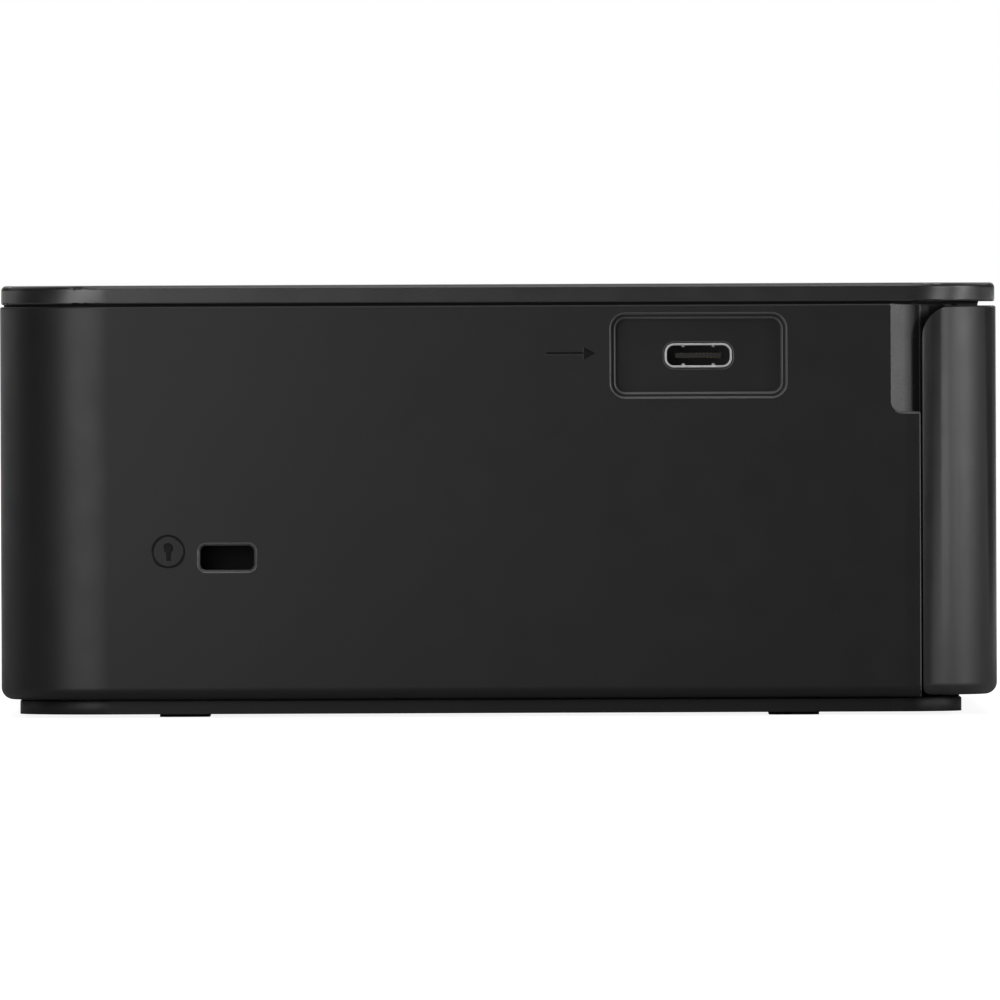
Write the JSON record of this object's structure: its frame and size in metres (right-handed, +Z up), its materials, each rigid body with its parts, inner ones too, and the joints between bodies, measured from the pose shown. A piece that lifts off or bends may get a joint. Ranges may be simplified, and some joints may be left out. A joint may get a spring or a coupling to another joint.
{
  "type": "compact photo printer",
  "caption": "Compact photo printer: flat rounded case, wrap-round front door over the paper bay, side ink cover, screen and buttons on top.",
  "frame": {"origin": "middle of the underside, on the surface that the feet stand on", "axes": "+Z up, -Y the front with the door, -X the left side with the data port and security slot"},
  "size_m": [0.1822, 0.133, 0.0576],
  "materials": {
    "cover_black": "satin",
    "body_black": "satin, fine grain",
    "door_black": "satin, fine grain",
    "base_black": "matte",
    "key_black": "satin",
    "inner_plastic": "matte",
    "port_black": "matte",
    "chip_black": "matte",
    "screen": "glossy",
    "foot_rubber": "matte",
    "roller_rubber": "matte",
    "steel": "zinc plated",
    "pin_steel": "bright",
    "port_metal": "bright",
    "alloy": "satin",
    "brass": "satin",
    "nylon": "matte",
    "board": "satin lacquer",
    "ceramic_strip": "smooth"
  },
  "bodies": {
    "root": {"top_cover": "cover_black", "screen_glass": "screen", "display_panel": "steel", "button_board": "board", "body_shell": "body_black", "base_plate": "base_black", "feet": "foot_rubber", "case_screws": "steel", "front_frame": "inner_plastic", "door_pins": "pin_steel", "usb_shell": "port_metal", "usb_tongue": "port_black", "main_board": "board", "board_parts": "chip_black", "lock_plate": "steel", "power_jack": "port_black", "power_board": "board", "card_socket": "port_metal", "chassis_left": "steel", "chassis_right": "steel", "chassis_beam": "steel", "head_guides": "steel", "bushes": "nylon", "cassette_bay": "inner_plastic", "entry_ramp": "inner_plastic", "rear_guide": "inner_plastic", "feed_motor": "steel", "latch_pin": "pin_steel"},
    "front_door": {"front_door": "door_black"},
    "ink_cover": {"ink_cover": "body_black", "ink_cover_pins": "pin_steel"},
    "grip": {"grip_roller": "pin_steel", "grip_gear": "nylon"},
    "pinch": {"pinch_roller": "roller_rubber"},
    "platen": {"platen_roller": "roller_rubber", "platen_shaft": "pin_steel"},
    "pickup": {"pickup_tyre": "roller_rubber", "pickup_shaft": "pin_steel"},
    "transfer": {"transfer_gear": "nylon"},
    "reduction": {"reduction_gear": "nylon"},
    "motor_shaft": {"motor_pinion": "brass"},
    "takeup": {"takeup_spindle": "nylon"},
    "supply": {"supply_spindle": "nylon"},
    "head": {"heat_sink": "alloy", "head_strip": "ceramic_strip"},
    "latch": {"ink_latch": "port_black"},
    "power_button": {"power_button": "key_black"},
    "menu_button": {"menu_button": "key_black"},
    "edit_button": {"edit_button": "key_black"},
    "back_button": {"back_button": "key_black"},
    "print_button": {"print_button": "key_black"},
    "confirm_button": {"confirm_button": "key_black"},
    "up_button": {"up_button": "key_black"},
    "down_button": {"down_button": "key_black"},
    "left_button": {"left_button": "key_black"},
    "right_button": {"right_button": "key_black"}
  },
  "joints": [
    {"name": "door_hinge", "type": "hinge", "parent": "root", "child": "front_door", "pos_m": [0, -0.0636, 0.0042], "axis": [1, 0, 0], "range_deg": [0, 90]},
    {"name": "ink_cover_hinge", "type": "hinge", "parent": "root", "child": "ink_cover", "pos_m": [0.0897, 0.0476, 0.04], "axis": [0, 0, 1], "range_deg": [0, 90]},
    {"name": "power_press", "type": "slide", "parent": "root", "child": "power_button", "axis": [0, 0, -1], "range_m": [0, 0.0004], "stiffness_N_per_m": 400, "springref_m": -0.0005},
    {"name": "menu_press", "type": "slide", "parent": "root", "child": "menu_button", "axis": [0, 0, -1], "range_m": [0, 0.0004], "stiffness_N_per_m": 400, "springref_m": -0.0005},
    {"name": "edit_press", "type": "slide", "parent": "root", "child": "edit_button", "axis": [0, 0, -1], "range_m": [0, 0.0004], "stiffness_N_per_m": 400, "springref_m": -0.0005},
    {"name": "back_press", "type": "slide", "parent": "root", "child": "back_button", "axis": [0, 0, -1], "range_m": [0, 0.0004], "stiffness_N_per_m": 400, "springref_m": -0.0005},
    {"name": "print_press", "type": "slide", "parent": "root", "child": "print_button", "axis": [0, 0, -1], "range_m": [0, 0.0004], "stiffness_N_per_m": 400, "springref_m": -0.0005},
    {"name": "confirm_press", "type": "slide", "parent": "root", "child": "confirm_button", "axis": [0, 0, -1], "range_m": [0, 0.0004], "stiffness_N_per_m": 400, "springref_m": -0.0005},
    {"name": "up_press", "type": "slide", "parent": "root", "child": "up_button", "axis": [0, 0, -1], "range_m": [0, 0.0004], "stiffness_N_per_m": 400, "springref_m": -0.0005},
    {"name": "down_press", "type": "slide", "parent": "root", "child": "down_button", "axis": [0, 0, -1], "range_m": [0, 0.0004], "stiffness_N_per_m": 400, "springref_m": -0.0005},
    {"name": "left_press", "type": "slide", "parent": "root", "child": "left_button", "axis": [0, 0, -1], "range_m": [0, 0.0004], "stiffness_N_per_m": 400, "springref_m": -0.0005},
    {"name": "right_press", "type": "slide", "parent": "root", "child": "right_button", "axis": [0, 0, -1], "range_m": [0, 0.0004], "stiffness_N_per_m": 400, "springref_m": -0.0005},
    {"name": "grip_spin", "type": "hinge", "parent": "root", "child": "grip", "pos_m": [0, 0.027, 0.02145], "axis": [1, 0, 0], "continuous": true},
    {"name": "pinch_spin", "type": "hinge", "parent": "root", "child": "pinch", "pos_m": [0, 0.027, 0.02705], "axis": [1, 0, 0], "continuous": true},
    {"name": "platen_spin", "type": "hinge", "parent": "root", "child": "platen", "pos_m": [0, 0.014, 0.019], "axis": [1, 0, 0], "continuous": true},
    {"name": "pickup_spin", "type": "hinge", "parent": "root", "child": "pickup", "pos_m": [0, -0.018, 0.02], "axis": [1, 0, 0], "continuous": true},
    {"name": "transfer_spin", "type": "hinge", "parent": "root", "child": "transfer", "pos_m": [0, 0.00218, 0.02771], "axis": [1, 0, 0], "continuous": true},
    {"name": "reduction_spin", "type": "hinge", "parent": "root", "child": "reduction", "pos_m": [0, 0.04187, 0.02462], "axis": [1, 0, 0], "continuous": true},
    {"name": "motor_spin", "type": "hinge", "parent": "root", "child": "motor_shaft", "pos_m": [0, 0.054, 0.013], "axis": [1, 0, 0], "continuous": true},
    {"name": "takeup_spin", "type": "hinge", "parent": "root", "child": "takeup", "pos_m": [0, 0.035, 0.04065], "axis": [1, 0, 0], "continuous": true},
    {"name": "supply_spin", "type": "hinge", "parent": "root", "child": "supply", "pos_m": [0, -0.01, 0.04065], "axis": [1, 0, 0], "continuous": true},
    {"name": "head_lift", "type": "slide", "parent": "root", "child": "head", "axis": [0, 0, 1], "range_m": [0, 0.002]},
    {"name": "latch_swing", "type": "hinge", "parent": "root", "child": "latch", "pos_m": [0.064, 0.05, 0.04], "axis": [-1, 0, 0], "range_deg": [0, 60], "stiffness_Nm_per_rad": 0.02, "springref_deg": -11.46}
  ],
  "couplings": [
    {"joint": "pinch_spin", "follows": "grip_spin", "ratio": -1.2},
    {"joint": "reduction_spin", "follows": "grip_spin", "ratio": -2.8},
    {"joint": "motor_spin", "follows": "grip_spin", "ratio": 8.96},
    {"joint": "transfer_spin", "follows": "grip_spin", "ratio": -0.77778},
    {"joint": "pickup_spin", "follows": "grip_spin", "ratio": 1.5556},
    {"joint": "takeup_spin", "follows": "grip_spin", "ratio": -1.1667}
  ]
}
